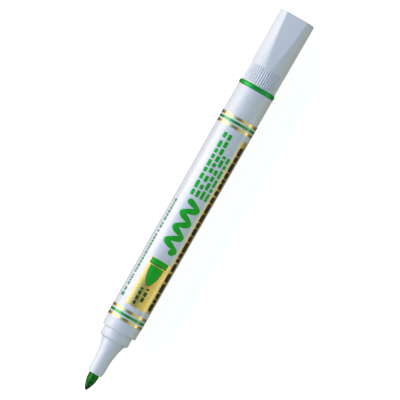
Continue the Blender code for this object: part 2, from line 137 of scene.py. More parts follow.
CAP_LAND_END = 9.00 * MM
RIB_COUNT = 48
RIB_START = 0.60 * MM
RIB_END = 7.40 * MM
RIB_RUN_OUT = 0.25 * MM
FLAT_START = 8.30 * MM
FLAT_DEPTH = 1.52 * MM
LINER_FINS = 6
LINER_WALL = 0.85 * MM
LINER_END_WALL = 1.00 * MM
LINER_FLANGE_THICKNESS = 0.60 * MM
LINER_SEAL_RADIUS = NOZZLE_RADIUS + 0.07 * MM
LINER_CHAMBER_RADIUS = 2.95 * MM
LINER_ENTRY_FLARE = 0.50 * MM
PRESS_GAP = 0.05 * MM
SEAM_GAP = 0.05 * MM
EDGE = 0.10 * MM

# Details that differ from the CAD model, or that only the visual model has
NOZZLE_LIP = 0.12 * MM
NECK_FILLET = 0.12 * MM
REAR_RIM_ROUND = 0.15 * MM
FILM_EDGE = 0.03 * MM
FILM_SEAM_COLUMN = 104  # of COLUMNS, counted from +Y towards +Z
FILM_SEAM_DEPTH = 0.06 * MM
FLANGE_FRONT_ROUND = 0.35 * MM
CAP_CROWN_ROUND = 0.35 * MM
# The throat and the liner's fins in it are 0.05 mm larger in radius than in the CAD model
CAP_THROAT_RADIUS = 5.30 * MM
CAP_THROAT_END_RADIUS = 4.50 * MM
CROWN_STEPS = 6
GATE_RADIUS = 0.90 * MM
GATE_DEPTH = 0.15 * MM
GATE_CORNER = 0.8  # share of the gate mark's radius and depth where its wall meets its floor
RIB_DEPTH = 0.28 * MM
RIB_SHOULDER_DEPTH = 0.8 * RIB_DEPTH
COLUMNS_PER_RIB = 12
FLAT_BLEND = 0.22 * MM
FLAT_ROWS = 70
FLAT_LIMIT = 0.2  # sine of the lowest angle at which a flat's height is followed
LINER_FIN_SHARE = 0.125  # half of a fin's flat top, as a share of the fins' pitch
FIRST_ROW = 0.02  # share of the cap's side between the ribs' end and the first row behind them

# Print on the film
PRINT_HEIGHT = 0.012 * MM
PRINT_ROOT = 0.02 * MM
BAND_MARGIN = 0.45 * MM
GOLD_WIDTH = 1.15 * MM
BAND_GAP = 0.59 * MM
GREEN_WIDTH = 1.06 * MM

# Printed areas: start and end stations, and low and high angles in degrees
PANEL = (36.1 * MM, 56.1 * MM, -25.6, 43.0)
STRIP = (36.4 * MM, 110.3 * MM, 44.5, 73.0)
NIB_SIGN = (45.6 * MM, 53.2 * MM, -13.4, 25.9)
SIGN_BAR = (53.9 * MM, 56.0 * MM, -20.5, 31.5)
TITLE_ROWS = ((83.2 * MM, 109.9 * MM, -20.6, 7.0), (83.2 * MM, 101.7 * MM, 11.5, 38.4))
PANEL_ROWS = ((37.0 * MM, 44.6 * MM, -8.0, 1.5), (38.9 * MM, 44.6 * MM, 9.5, 19.0))
STRIP_ROW = (37.4 * MM, 107.5 * MM, 49.0, 68.5)
SMALL_SQUARES = ((37.8 * MM, 39.3 * MM, -61.0, -46.0), (37.8 * MM, 39.3 * MM, -92.0, -78.0))
SMALL_ROWS = ((39.9 * MM, 80.3 * MM, -58.5, -48.0), (39.9 * MM, 70.0 * MM, -89.0, -79.0))

# Heights of print that lies over other print
OUTLINE_HEIGHT = 1.3 * PRINT_HEIGHT
OVERPRINT_HEIGHT = 1.6 * PRINT_HEIGHT
SIGN_HEIGHT = 2.0 * PRINT_HEIGHT
SIGN_OUTLINE = 0.30 * MM

# Dashes: shortest and longest, the gap after one, and the gap after a group
TITLE_DASHES = ((1.6 * MM, 3.4 * MM), 0.55 * MM, 1.3 * MM)
PANEL_DASHES = ((0.9 * MM, 2.0 * MM), 0.35 * MM, 0.7 * MM)
STRIP_DASHES = ((1.6 * MM, 4.4 * MM), 0.25 * MM, 0.7 * MM)
SMALL_DASHES = ((0.6 * MM, 1.6 * MM), 0.3 * MM, 0.9 * MM)
DASH_ROUND = 0.3  # corner radius of a dash, as a share of its shorter side
TITLE_DASH_HEIGHT = 0.40  # share of the line's height
GROUP_END_CHANCE = 0.2
TITLE_SEED = 11
SMALL_PRINT_SEED = 5

# The wave: start and end stations, the angle of its middle and its half height in degrees
WAVE = (60.5 * MM, 80.8 * MM, 7.0, 21.5)
WAVE_STROKE = 2.4 * MM
WAVE_TURNS = 3.5
WAVE_PHASE = 0.6
WAVE_STEPS = 480
WAVE_SWELL = (0.9, 0.1)  # the even and the swelling share of its height
STROKE_SWELL = (0.82, 0.18)  # the even and the swelling share of its stroke


# Shapes

def arc(centre, radius, start, end, steps=8):
    """Points on a circle in the outline's plane, from one angle to another, in degrees from +X."""
    points = []
    for i in range(steps + 1):
        angle = math.radians(start + (end - start) * i / steps)
        points.append((centre[0] + radius * math.cos(angle), centre[1] + radius * math.sin(angle)))
    return points


def tangent_arc(start, end, steps=12):
    """Points from start to end on the arc that leaves start along the axis."""
    run = end[0] - start[0]
    rise = end[1] - start[1]
    radius = (run * run + rise * rise) / (2 * rise)
    points = []
    for i in range(steps + 1):
        along = run * i / steps
        across = abs(radius) - math.sqrt(radius * radius - along * along)
        points.append((start[0] + along, start[1] + math.copysign(across, rise)))
    return points


def finish_mesh(bm, name, surface):
    """A smooth-shaded object with its faces turned outwards and its edges kept sharp."""
    bm.normal_update()
    bmesh.ops.recalc_face_normals(bm, faces=bm.faces)
    mesh = bpy.data.meshes.new(name)
    bm.to_mesh(mesh)
    bm.free()
    mesh.shade_smooth()
    mesh.set_sharp_from_angle(angle=SHARP_ANGLE)
    mesh.materials.append(surface)
    obj = bpy.data.objects.new(name, mesh)
    bpy.context.scene.collection.objects.link(obj)
    return obj


def lathe(name, rows, surface, origin=TIP, columns=COLUMNS, closed=True):
    """A turned solid. A row is (station, radius), and a radius may be a function of the angle in turns.

    A closed outline makes a tube. An open one starts and ends on the axis.
    """
    bm = bmesh.new()
    rings = []
    for station, radius in rows:
        x = origin + station
        if radius == 0:
            rings.append([bm.verts.new((x, 0, AXIS_HEIGHT))])
            continue
        ring = []
        for i in range(columns):
            turn = i / columns
            r = radius(turn) if callable(radius) else radius
            angle = math.tau * turn
            ring.append(bm.verts.new((x, r * math.cos(angle), AXIS_HEIGHT + r * math.sin(angle))))
        rings.append(ring)
    pairs = list(zip(rings, rings[1:]))
    if closed:
        pairs.append((rings[-1], rings[0]))
    for first, second in pairs:
        for i in range(columns):
            j = (i + 1) % columns
            corners = [first[i % len(first)], first[j % len(first)]]
            corners += [second[j % len(second)], second[i % len(second)]]
            bm.faces.new(list(dict.fromkeys(corners)))
    return finish_mesh(bm, name, surface)


def barrel_radius(station):
    """The barrel widens evenly from its shoulder to its rear rim."""
    share = (station - SHOULDER) / (REAR_RIM - SHOULDER)
    return BARREL_FRONT_RADIUS + share * (BARREL_REAR_RADIUS - BARREL_FRONT_RADIUS)


def film_radius(station):
    return barrel_radius(station) + LABEL_GAP + LABEL_THICKNESS


def cap_radius(station):
    return CAP_MOUTH_RADIUS + station / CAP_LENGTH * (CAP_CROWN_RADIUS - CAP_MOUTH_RADIUS)


def flat_height(station):
    """Height of the cap's flats above its axis."""
    start = cap_radius(FLAT_START)
    end = CAP_CROWN_RADIUS - FLAT_DEPTH
    return start + (station - FLAT_START) / (CAP_LENGTH - FLAT_START) * (end - start)


def gate_mark(end):
    """The shallow round mark on the axis where the moulding was filled."""
    corner = (end - GATE_CORNER * GATE_DEPTH, GATE_CORNER * GATE_RADIUS)
    return [(end, GATE_RADIUS), corner, (end - GATE_DEPTH, 0)]


def stand_for(piece, node, body):
    """The piece takes the place of a CAD node and on its body."""
    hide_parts(node)
    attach(piece, body)
    return piece


# Pieces

def make_nib(surface):
    taper = NIB_TAPER_LENGTH - NIB_TIP_RADIUS
    step = NIB_RADIUS - NIB_TIP_RADIUS
    ogive = (taper * taper / step + NIB_RADIUS + NIB_TIP_RADIUS) / 2
    lean = math.degrees(math.acos(taper / (ogive - NIB_TIP_RADIUS)))
    tip = arc((NIB_TIP_RADIUS, 0), NIB_TIP_RADIUS, 180, 180 - lean, 8)
    tip[0] = (0.0, 0)
    side = arc((NIB_TAPER_LENGTH, NIB_RADIUS - ogive), ogive, 180 - lean, 90, 24)
    tail = NIB_HIGH.x - TIP
    rows = tip + side[1:]
    rows += [(tail - NIB_TAIL_CHAMFER, NIB_RADIUS), (tail, NIB_RADIUS - NIB_TAIL_CHAMFER), (tail, 0)]
    return stand_for(lathe("felt_nib", rows, surface, closed=False), "nib", "pen")


def make_nozzle(surface):
    full = NOZZLE_MOUTH + NOZZLE_MOUTH_TAPER
    flare = NOZZLE_MOUTH + NOZZLE_STRAIGHT_END
    seat = NOZZLE_END - NOZZLE_TAIL_LENGTH - NECK_STOP_LENGTH
    guide = NOZZLE_MOUTH + NIB_GUIDE_LENGTH
    chamber = guide + NIB_CHAMBER_RADIUS - NIB_BORE_RADIUS
    mouth = tangent_arc((full, NOZZLE_RADIUS), (NOZZLE_MOUTH + NOZZLE_LIP, NOZZLE_MOUTH_RADIUS))
    half_lip = NOZZLE_LIP / 2
    rows = arc((NOZZLE_MOUTH + half_lip, NIB_BORE_RADIUS + half_lip), half_lip, -90, -180, 4)
    lip_centre = (NOZZLE_MOUTH + NOZZLE_LIP, NOZZLE_MOUTH_RADIUS - NOZZLE_LIP)
    rows += arc(lip_centre, NOZZLE_LIP, 180, 110, 4)
    rows += list(reversed(mouth))[1:]
    rows += tangent_arc((flare, NOZZLE_RADIUS), (NECK_RIM, NOZZLE_BASE_RADIUS), 24)
    rows += [
        (seat - SEAM_GAP, NOZZLE_BASE_RADIUS),
        (seat - SEAM_GAP, NOZZLE_TAIL_RADIUS),
        (NOZZLE_END, NOZZLE_TAIL_RADIUS),
        (NOZZLE_END, NIB_CHAMBER_RADIUS),
        (chamber, NIB_CHAMBER_RADIUS),
        (guide, NIB_BORE_RADIUS),
    ]
    return stand_for(lathe("nozzle_cone", rows, surface), "nozzle", "pen")


def make_barrel(surface):
    bead = NECK_RADIUS + NECK_BEAD
    bead_start = NECK_RIM + NECK_NOSE_LENGTH
    bore_start = NOZZLE_END - NOZZLE_TAIL_LENGTH
    neck_bore = NOZZLE_BASE_RADIUS + PRESS_GAP
    nose = tangent_arc((bead_start, bead), (NECK_RIM, bead - NECK_NOSE_DROP))
    front = barrel_radius(SHOULDER) - SHOULDER_ROUND
    rear = barrel_radius(REAR_RIM)
    rows = [(NECK_RIM + EDGE, neck_bore), (NECK_RIM, neck_bore + EDGE / 2)]
    rows += reversed(nose)
    rows += [
        (bead_start + BEAD_WIDTH, bead),
        (bead_start + 1.4 * BEAD_WIDTH, NECK_RADIUS + NECK_BEAD * 0.6),
        (bead_start + 2 * BEAD_WIDTH, NECK_RADIUS),
    ]
    rows += arc((SHOULDER - NECK_FILLET, NECK_RADIUS + NECK_FILLET), NECK_FILLET, -90, 0, 4)
    rows += arc((SHOULDER + SHOULDER_ROUND, front), SHOULDER_ROUND, 180, 90)
    rows += arc((REAR_RIM - REAR_RIM_ROUND, rear - REAR_RIM_ROUND), REAR_RIM_ROUND, 90, 0, 4)
    rows += [
        (REAR_RIM, rear - BARREL_WALL),
        (bore_start, barrel_radius(bore_start) - BARREL_WALL),
        (bore_start, NOZZLE_TAIL_RADIUS + EDGE),
        (bore_start - NECK_STOP_LENGTH, NOZZLE_TAIL_RADIUS + EDGE),
        (bore_start - NECK_STOP_LENGTH, neck_bore),
    ]
    return stand_for(lathe("barrel_tube", rows, surface), "barrel", "pen")


def make_film(surface):
    """The film is wrapped once round the barrel.

    Its two ends meet in a fine groove beyond the gold strip.
    """

    def wrapped(station, drop=0.0):
        def radius(turn):
            at_seam = round(turn * COLUMNS) == FILM_SEAM_COLUMN
            return film_radius(station) - drop - (FILM_SEAM_DEPTH if at_seam else 0.0)

        return radius

    rows = [
        (LABEL_START, barrel_radius(LABEL_START) + LABEL_GAP),
        (LABEL_START, wrapped(LABEL_START, FILM_EDGE)),
        (LABEL_START + FILM_EDGE, wrapped(LABEL_START)),
        (LABEL_END - FILM_EDGE, wrapped(LABEL_END)),
        (LABEL_END, wrapped(LABEL_END, FILM_EDGE)),
        (LABEL_END, barrel_radius(LABEL_END) + LABEL_GAP),
    ]
    return stand_for(lathe("printed_film", rows, surface), "label_film", "pen")


def make_plug(surface):
    flange_end = SPIGOT_END - SPIGOT_LENGTH
    flange_start = flange_end - FLANGE_THICKNESS
    body = barrel_radius(PLUG_FRONT) - BARREL_WALL - PRESS_GAP
    spigot = CAP_BORE_RADIUS - EDGE
    edge = arc((flange_end - FLANGE_ROUND, FLANGE_RADIUS - FLANGE_ROUND), FLANGE_ROUND, 90, 0)
    tip = arc((SPIGOT_END - SPIGOT_ROUND, spigot - SPIGOT_ROUND), SPIGOT_ROUND, 90, 0)
    rows = [
        (SPIGOT_END - PLUG_WALL, 0),
        (SPIGOT_END - PLUG_WALL, spigot - PLUG_WALL),
        (PLUG_FRONT, spigot - PLUG_WALL),
        (PLUG_FRONT, body - PLUG_LEAD_IN / 2),
        (PLUG_FRONT + PLUG_LEAD_IN, body),
        (flange_start, body),
    ]
    front = FLANGE_FRONT_ROUND
    rows += arc((flange_start + front, FLANGE_RADIUS - front), front, 180, 90)
    rows += edge
    rows.append((flange_end, spigot))
    rows += tip
    rows += gate_mark(SPIGOT_END)
    return stand_for(lathe("green_plug", rows, surface, closed=False), "tail_plug", "pen")


def make_cap(surface):
    """Cap with rounded grip ribs and two flats that run out of its round side towards the crown."""
    origin = CAP_LOW.x
    inner_end = CAP_LENGTH - CAP_CROWN_WALL
    lead_in = CAP_MOUTH_ROUND

    def ribbed(station, depth):
        """Narrow rounded ridges that keep the cap's radius, with wider hollows between them."""
        def radius(turn):
            ridge = 0.5 + 0.5 * math.cos(math.tau * RIB_COUNT * turn)
            return cap_radius(station) - depth * (1 - ridge * ridge)

        return radius

    def side(station, inset=0.0):
        def radius(turn):
            round_side = cap_radius(station)
            lift = max(abs(math.sin(math.tau * turn)), FLAT_LIMIT)
            flat_side = flat_height(station) / lift
            overlap = max(FLAT_BLEND - abs(round_side - flat_side), 0.0) / FLAT_BLEND
            return min(round_side, flat_side) - overlap * overlap * FLAT_BLEND / 4 - inset

        return radius

    rows = [
        (inner_end, 0),
        (inner_end, CAP_THROAT_END_RADIUS),
        (CAP_LAND_END, CAP_THROAT_RADIUS),
        (CAP_LAND_END, CAP_BORE_RADIUS),
        (lead_in, CAP_BORE_RADIUS),
        (0.0, CAP_BORE_RADIUS + lead_in),
    ]
    rows += arc((lead_in, CAP_MOUTH_RADIUS - lead_in), lead_in, 180, 90, 5)
    rows.append((RIB_START, cap_radius(RIB_START)))
    rows.append((RIB_START + RIB_RUN_OUT / 2, ribbed(RIB_START, RIB_SHOULDER_DEPTH)))
    for station in (RIB_START + RIB_RUN_OUT, RIB_END - RIB_RUN_OUT):
        rows.append((station, ribbed(station, RIB_DEPTH)))
    rows.append((RIB_END - RIB_RUN_OUT / 2, ribbed(RIB_END, RIB_SHOULDER_DEPTH)))
    rows.append((RIB_END, cap_radius(RIB_END)))
    fillet_start = CAP_LENGTH - CAP_CROWN_ROUND
    for i in range(FLAT_ROWS + 1):
        share = FIRST_ROW + (1 - FIRST_ROW) * i / FLAT_ROWS
        station = RIB_END + (fillet_start - RIB_END) * share
        rows.append((station, side(station)))
    for i in range(1, CROWN_STEPS + 1):
        angle = math.radians(90 * i / CROWN_STEPS)
        inset = CAP_CROWN_ROUND * (1 - math.cos(angle))
        rows.append((fillet_start + CAP_CROWN_ROUND * math.sin(angle), side(CAP_LENGTH, inset)))
    rows += gate_mark(CAP_LENGTH)
    piece = lathe("cap_body", rows, surface, origin, COLUMNS_PER_RIB * RIB_COUNT, False)
    return stand_for(piece, "cap_shell", "cap")


def make_liner(surface):
    flange_end = LINER_START + LINER_FLANGE_THICKNESS
    chamber_end = LINER_END - LINER_END_WALL
    cup = LINER_SEAL_RADIUS + LINER_WALL
    seal_start = SHOULDER - NOZZLE_MOUTH - NOZZLE_STRAIGHT_END - SEAM_GAP
    seal_end = SHOULDER - NOZZLE_MOUTH
    fin_start = CAP_LAND_END + LINER_WALL

    def fin_radius(station):
        share = (station - CAP_LAND_END) / (CAP_LENGTH - CAP_CROWN_WALL - CAP_LAND_END)
        throat = CAP_THROAT_RADIUS + share * (CAP_THROAT_END_RADIUS - CAP_THROAT_RADIUS)
        return throat - PRESS_GAP

    def finned(station):
        def radius(turn):
            phase = (turn * LINER_FINS + 0.5) % 1 - 0.5
            rise = min(max(2 - abs(phase) / LINER_FIN_SHARE, 0.0), 1.0)
            return cup + rise * (fin_radius(station) - cup)

        return radius

    rows = [
        (chamber_end, 0),
        (chamber_end, LINER_CHAMBER_RADIUS),
        (seal_end, LINER_CHAMBER_RADIUS),
        (seal_end, LINER_SEAL_RADIUS),
        (seal_start, LINER_SEAL_RADIUS),
    ]
    funnel = tangent_arc((seal_start, LINER_SEAL_RADIUS), (LINER_START, cup + LINER_ENTRY_FLARE), 12)
    rows += funnel[1:]
    rows += [
        (LINER_START, LINER_FLANGE_RADIUS - EDGE),
        (LINER_START + EDGE, LINER_FLANGE_RADIUS),
        (flange_end, LINER_FLANGE_RADIUS),
        (flange_end, fin_radius(CAP_LAND_END)),
        (fin_start, fin_radius(fin_start)),
        (fin_start + LINER_WALL, finned(fin_start + LINER_WALL)),
        (chamber_end, finned(chamber_end)),
        (LINER_END, cup - LINER_END_WALL / 2),
        (LINER_END, 0),
    ]
    piece = lathe("seal_liner", rows, surface, CAP_LOW.x, closed=False)
    return stand_for(piece, "cap_liner", "liner")


# Print

def wrap_patch(name, polygons, surface, height=PRINT_HEIGHT):
    """Print that follows the film. A polygon's corners are (station, angle in degrees)."""
    bm = bmesh.new()
    for polygon in polygons:
        bm.faces.new([bm.verts.new((station, math.radians(angle), 0)) for station, angle in polygon])
    bmesh.ops.remove_doubles(bm, verts=bm.verts, dist=MERGE_DISTANCE)
    bmesh.ops.triangulate(bm, faces=bm.faces)
    low = min(v.co.y for v in bm.verts)
    high = max(v.co.y for v in bm.verts)
    step = math.radians(PRINT_STEP)
    cut = math.ceil(low / step + 1e-6) * step
    while cut < high - 1e-6:
        everything = list(bm.verts) + list(bm.edges) + list(bm.faces)
        across = {"plane_co": (0, cut, 0), "plane_no": (0, 1, 0)}
        bmesh.ops.bisect_plane(bm, geom=everything, dist=MERGE_DISTANCE, **across)
        cut += step
    grown = bmesh.ops.extrude_face_region(bm, geom=list(bm.faces))["geom"]
    top = {item for item in grown if isinstance(item, bmesh.types.BMVert)}
    for vert in bm.verts:
        station, angle = vert.co.x, vert.co.y
        r = film_radius(station) + (height if vert in top else -PRINT_ROOT)
        vert.co = (TIP + station, -r * math.sin(angle), AXIS_HEIGHT + r * math.cos(angle))
    piece = finish_mesh(bm, name, surface)
    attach(piece, "pen")
    return piece


def box_patch(start, end, low, high):
    return [(start, low), (end, low), (end, high), (start, high)]


def dash_patch(start, end, low, high):
    """A dash with rounded corners."""
    radius = film_radius(start)
    along = DASH_ROUND * min(end - start, math.radians(high - low) * radius)
    around = math.degrees(along / radius)
    corners = (
        (end - along, high - around, 0),
        (start + along, high - around, 90),
        (start + along, low + around, 180),
        (end - along, low + around, 270),
    )
    points = []
    for station, middle, first in corners:
        for turn in (0, 30, 60, 90):
            angle = math.radians(first + turn)
            points.append((station + along * math.cos(angle), middle + around * math.sin(angle)))
    return points


def make_bands(gold, green):
    """Each end of the film has a green ring between two gold ones."""
    group = 2 * GOLD_WIDTH + 2 * BAND_GAP + GREEN_WIDTH
    places = (("front", LABEL_START + BAND_MARGIN), ("rear", LABEL_END - BAND_MARGIN - group))
    rings = ((GOLD_WIDTH, gold), (GREEN_WIDTH, green), (GOLD_WIDTH, gold))
    for place, station in places:
        for i, (width, surface) in enumerate(rings):
            end = station + width
            rows = [
                (station, film_radius(station) - PRINT_ROOT),
                (station, film_radius(station) + PRINT_HEIGHT),
                (end, film_radius(end) + PRINT_HEIGHT),
                (end, film_radius(end) - PRINT_ROOT),
            ]
            piece = lathe(f"{place}_band_{i + 1}", rows, surface)
            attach(piece, "pen")
            station = end + BAND_GAP


def rounded_end(end, low, high, steps=16):
    """The corners of a half-round end of a strip, from its low side to its high side."""
    middle = (low + high) / 2
    half = (high - low) / 2
    reach = math.radians(half) * film_radius(end)
    points = []
    for i in range(steps + 1):
        angle = math.radians(-90 + 180 * i / steps)
        points.append((end - reach + reach * math.cos(angle), middle + half * math.sin(angle)))
    return points


def make_panel(gold):
    start, end, low, high = PANEL
    wrap_patch("gold_panel", [box_patch(start, end, low, high)], gold)
    start, end, low, high = STRIP
    strip = [(start, low)] + rounded_end(end, low, high) + [(start, high)]
    wrap_patch("gold_strip", [strip], gold)


def arch_patch(start, end, low, high, steps=24):
    """A pointed arch that lies on its side, with its point at the start."""
    middle = (low + high) / 2
    half = (high - low) / 2
    upper = []
    for i in range(steps + 1):
        share = i / steps
        upper.append((start + (end - start) * share, half * math.sqrt(1 - (1 - share) ** 2) ** 1.25))
    arch = [(station, middle - rise) for station, rise in upper]
    return arch + [(station, middle + rise) for station, rise in reversed(upper[1:])]


def make_sign(ink, outline):
    """The sign for a bullet tip: a pointed arch and a bar behind it, with a thin dark outline."""
    margin = SIGN_OUTLINE / film_radius(NIB_SIGN[0])
    around = math.degrees(margin)

    def widened(start, end, low, high):
        return start - SIGN_OUTLINE, end, low - around, high + around

    outer = [arch_patch(*widened(*NIB_SIGN)), box_patch(*widened(*SIGN_BAR))]
    wrap_patch("tip_sign_edge", outer, outline, OUTLINE_HEIGHT)
    wrap_patch("tip_sign", [arch_patch(*NIB_SIGN), box_patch(*SIGN_BAR)], ink, SIGN_HEIGHT)


def stroke_slices(centre, widths, steps=160):
    """A round-ended stroke, cut into slices across the marker. Its middle line never turns back."""
    first = centre[0].x - widths[0]
    last = centre[-1].x + widths[-1]
    stations = {first + (last - first) * i / steps for i in range(1, steps)}
    for i in range(1, 10):
        run = 1 - math.cos(math.radians(6 * i))
        stations |= {first + widths[0] * run, last - widths[-1] * run}
    edges = [(first, centre[0].y, centre[0].y)]
    for station in sorted(stations):
        spans = []
        for point, half in zip(centre, widths):
            square = half * half - (station - point.x) ** 2
            if square > 0:
                spans.append((point.y - math.sqrt(square), point.y + math.sqrt(square)))
        edges.append((station, min(low for low, high in spans), max(high for low, high in spans)))
    edges.append((last, centre[-1].y, centre[-1].y))
    slices = []
    for (x, low, high), (next_x, next_low, next_high) in zip(edges, edges[1:]):
        corners = [(x, low), (next_x, next_low), (next_x, next_high), (x, high)]
        slices.append(list(dict.fromkeys(corners)))
    return slices


def make_wave(ink):
    """A hand-drawn wave, as a marker would leave it, with a thick body and round ends."""
    start, end, middle, half = WAVE
    even, swell = WAVE_SWELL
    even_stroke, stroke_swell = STROKE_SWELL
    radius = film_radius((start + end) / 2)
    centre, widths = [], []
    for i in range(WAVE_STEPS + 1):
        share = i / WAVE_STEPS
        rise = math.radians(half) * radius * math.sin(math.tau * WAVE_TURNS * share + WAVE_PHASE)
        rise *= even + swell * math.cos(math.tau * share)
        centre.append(Vector((start + (end - start) * share, rise)))
        pulse = math.cos(math.tau * WAVE_TURNS * 2 * share)
        widths.append(WAVE_STROKE / 2 * (even_stroke + stroke_swell * pulse))
    polygons = []
    for corners in stroke_slices(centre, widths):
        polygons.append([(station, middle + math.degrees(y / radius)) for station, y in corners])
    wrap_patch("wave", polygons, ink, OVERPRINT_HEIGHT)


def dash_row(pattern, row, lengths, gap, group_gap):
    """Plain dashes along a row. Now and then a wider gap follows one."""
    start, end, low, high = row
    polygons = []
    station = start
    while station < end - lengths[0] / 2:
        width = min(pattern.uniform(*lengths), end - station)
        polygons.append(dash_patch(station, station + width, low, high))
        station += width + (group_gap if pattern.random() < GROUP_END_CHANCE else gap)
    return polygons


def make_title(ink):
    """Each of the two large lines is two rows of plain thick dashes."""
    pattern = random.Random(TITLE_SEED)
    polygons = []
    for start, end, low, high in TITLE_ROWS:
        dash = (high - low) * TITLE_DASH_HEIGHT
        for first in (low, high - dash):
            row = (start, end, first, first + dash)
            polygons += dash_row(pattern, row, *TITLE_DASHES)
    wrap_patch("title_dashes", polygons, ink)


def make_small_print(ink, dark, deep):
    """Rows of dashes stand where a real label has its small print."""
    pattern = random.Random(SMALL_PRINT_SEED)
    panel = []
    for row in PANEL_ROWS:
        panel += dash_row(pattern, row, *PANEL_DASHES)
    wrap_patch("panel_print", panel, deep, OVERPRINT_HEIGHT)
    wrap_patch("strip_print", dash_row(pattern, STRIP_ROW, *STRIP_DASHES), dark, OVERPRINT_HEIGHT)
    wrap_patch("small_squares", [box_patch(*square) for square in SMALL_SQUARES], ink)
    lines = []
    for row in SMALL_ROWS:
        lines += dash_row(pattern, row, *SMALL_DASHES)
    wrap_patch("small_print", lines, ink)


# Materials

WET_LENGTH = 4.0 * MM  # of the nib's point, over which the ink is densest
WET_SHADE = 0.72  # scales the fibres' shade at the point, towards the darker ink


def shader(name, colour, roughness, metallic=0.0, **sockets):
    made = bpy.data.materials.new(name)
    made.use_nodes = True
    node = made.node_tree.nodes["Principled BSDF"]
    node.inputs["Base Color"].default_value = (*colour, 1.0)
    node.inputs["Roughness"].default_value = roughness
    node.inputs["Metallic"].default_value = metallic
    for label, value in sockets.items():
        node.inputs[label.replace("_", " ")].default_value = value
    return made


def noise(made, scale, stretch=(1, 1, 1), detail=3.0):
    """Noise in the piece's own space. Scale is in features per metre."""
    nodes = made.node_tree.nodes
    links = made.node_tree.links
    place = nodes.new("ShaderNodeTexCoord")
    mapping = nodes.new("ShaderNodeMapping")
    mapping.inputs["Scale"].default_value = stretch
    texture = nodes.new("ShaderNodeTexNoise")
    texture.inputs["Scale"].default_value = scale
    texture.inputs["Detail"].default_value = detail
    links.new(place.outputs["Object"], mapping.inputs["Vector"])
    links.new(mapping.outputs["Vector"], texture.inputs["Vector"])
    return texture.outputs["Fac"]


def vary_colour(made, source, low, high, start=0.35, end=0.65):
    ramp = made.node_tree.nodes.new("ShaderNodeValToRGB")
    ramp.color_ramp.elements[0].position = start
    ramp.color_ramp.elements[0].color = (*low, 1)
    ramp.color_ramp.elements[1].position = end
    ramp.color_ramp.elements[1].color = (*high, 1)
    made.node_tree.links.new(source, ramp.inputs["Fac"])
    shader_node = made.node_tree.nodes["Principled BSDF"]
    made.node_tree.links.new(ramp.outputs["Color"], shader_node.inputs["Base Color"])


def vary_roughness(made, source, low, high):
    span = made.node_tree.nodes.new("ShaderNodeMapRange")
    span.inputs["To Min"].default_value = low
    span.inputs["To Max"].default_value = high
    made.node_tree.links.new(source, span.inputs["Value"])
    shader_node = made.node_tree.nodes["Principled BSDF"]
    made.node_tree.links.new(span.outputs["Result"], shader_node.inputs["Roughness"])


def bump(made, source, strength, distance):
    node = made.node_tree.nodes.new("ShaderNodeBump")
    node.inputs["Strength"].default_value = strength
    node.inputs["Distance"].default_value = distance
    made.node_tree.links.new(source, node.inputs["Height"])
    shader_node = made.node_tree.nodes["Principled BSDF"]
    made.node_tree.links.new(node.outputs["Normal"], shader_node.inputs["Normal"])


def plastic(name, low, high, roughness, grain, grain_depth, **sockets):
    """Moulded plastic: slow colour drift from the melt and a fine grain from the mould."""
    made = shader(name, high, roughness[0], **sockets)
    vary_colour(made, noise(made, 60, (0.4, 1, 1)), low, high)
    vary_roughness(made, noise(made, 900), *roughness)
    bump(made, noise(made, grain), 0.35, grain_depth)
    return made


def foil(name, low, high, roughness, metallic, varnish=1.5):
    """Metallic print under the film's clear varnish, with faint streaks along the marker."""
    made = shader(name, high, roughness[0], metallic, Coat_Weight=1.0, Coat_IOR=varnish, Coat_Roughness=0.12)
    vary_colour(made, noise(made, 500, (3, 1, 1)), low, high)
    vary_roughness(made, noise(made, 1500, (4, 1, 1)), *roughness)
    bump(made, noise(made, 2500, (2, 1, 1)), 0.15, 0.01 * MM)
    return made


def ink(name, low, high, roughness, metallic):
    made = shader(name, high, roughness[0], metallic)
    vary_colour(made, noise(made, 700), low, high)
    vary_roughness(made, noise(made, 2000), *roughness)
    bump(made, noise(made, 5000), 0.1, 0.005 * MM)
    return made


def felt(name, low, high, grain, stretch, depth, wet=0.0):
    """Bonded fibres that run along the marker. The ink is densest in the point, over the wet length."""
    made = shader(name, high, 0.8, Specular_IOR_Level=0.25)
    fibres = noise(made, grain, stretch, 5.0)
    shade = fibres
    if wet:
        nodes = made.node_tree.nodes
        links = made.node_tree.links
        place = nodes.new("ShaderNodeTexCoord")
        split = nodes.new("ShaderNodeSeparateXYZ")
        span = nodes.new("ShaderNodeMapRange")
        span.inputs["From Min"].default_value = TIP
        span.inputs["From Max"].default_value = TIP + wet
        span.inputs["To Min"].default_value = WET_SHADE
        blend = nodes.new("ShaderNodeMath")
        blend.operation = "MULTIPLY"
        links.new(place.outputs["Object"], split.inputs["Vector"])
        links.new(split.outputs["X"], span.inputs["Value"])
        links.new(span.outputs["Result"], blend.inputs[0])
        links.new(fibres, blend.inputs[1])
        shade = blend.outputs["Value"]
    vary_colour(made, shade, low, high)
    vary_roughness(made, noise(made, grain / 3), 0.55, 0.9)
    bump(made, fibres, 0.6, depth)
    return made


